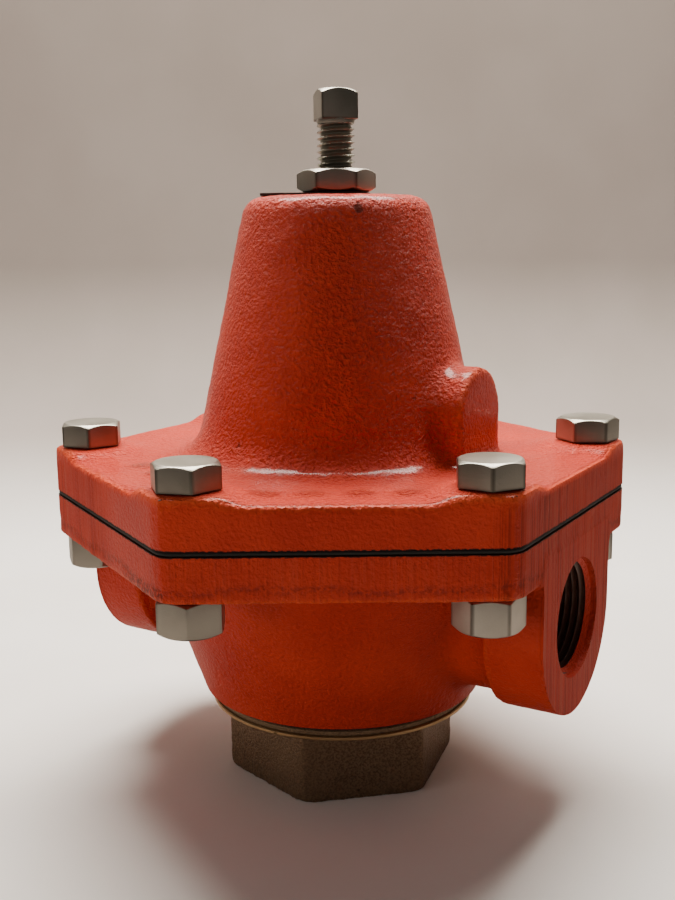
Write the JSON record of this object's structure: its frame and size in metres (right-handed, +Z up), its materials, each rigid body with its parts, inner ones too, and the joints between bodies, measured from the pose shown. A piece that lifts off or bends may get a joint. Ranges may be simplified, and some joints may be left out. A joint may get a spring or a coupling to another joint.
{
  "type": "pressure reducing valve",
  "caption": "Spring-loaded diaphragm pressure reducing valve with a cast body, threaded ports, bolted hexagonal flanges, tapered spring chamber, adjusting screw and bottom plug.",
  "frame": {"origin": "centre of the bottom plug's underside, on the spring axis", "axes": "+Z up the spring axis to the adjusting screw, +X out of the outlet port, -X out of the inlet port"},
  "size_m": [0.1322, 0.1502, 0.1773],
  "materials": {
    "red_paint": "gloss orange-red paint on sand-cast iron",
    "zinc_plate": "satin zinc plate",
    "cast_bronze": "dull grainy cast bronze",
    "brass": "machined",
    "spring_steel": "oiled",
    "black_rubber": "matte",
    "gasket_fibre": "matte fibre",
    "tag_metal": "matte black"
  },
  "bodies": {
    "housing": {"valve_body": "red_paint", "spring_chamber": "red_paint", "diaphragm": "black_rubber", "range_spring": "spring_steel", "name_tag": "tag_metal", "bottom_plug": "cast_bronze", "plug_gasket": "gasket_fibre", "seat_ring": "brass", "piston_spring": "spring_steel", "flange_bolt_1": "zinc_plate", "flange_nut_1": "zinc_plate", "flange_bolt_2": "zinc_plate", "flange_nut_2": "zinc_plate", "flange_bolt_3": "zinc_plate", "flange_nut_3": "zinc_plate", "flange_bolt_4": "zinc_plate", "flange_nut_4": "zinc_plate", "flange_bolt_5": "zinc_plate", "flange_nut_5": "zinc_plate", "flange_bolt_6": "zinc_plate", "flange_nut_6": "zinc_plate"},
    "diaphragm_stack": {"pressure_plate": "zinc_plate", "diaphragm_nut": "zinc_plate", "pusher_post": "brass", "piston": "brass", "seat_disc": "black_rubber", "disc_nut": "brass"},
    "spring_button": {"spring_button": "zinc_plate"},
    "adjusting_screw": {"adjusting_screw": "zinc_plate"},
    "lock_nut": {"lock_nut": "zinc_plate"}
  },
  "joints": [
    {"name": "valve_stroke", "type": "slide", "parent": "housing", "child": "diaphragm_stack", "axis": [0, 0, 1], "range_m": [-0.0018, 0], "stiffness_N_per_m": 2000, "springref_m": 0.003, "deforming": ["diaphragm", "piston_spring", "range_spring"]},
    {"name": "screw_feed", "type": "slide", "parent": "housing", "child": "spring_button", "axis": [0, 0, 1], "range_m": [-0.011, 0.003], "deforming": ["range_spring"]},
    {"name": "screw_turn", "type": "hinge", "parent": "spring_button", "child": "adjusting_screw", "pos_m": [0, 0, 0.1361], "axis": [0, 0, 1], "range_deg": [-2520, 700]},
    {"name": "lock_nut_turn", "type": "hinge", "parent": "housing", "child": "lock_nut", "pos_m": [0, 0, 0.1522], "axis": [0, 0, 1], "range_deg": [0, 90]}
  ],
  "couplings": [
    {"joint": "screw_turn", "follows": "screw_feed", "rad_per_m": 3957.9}
  ]
}
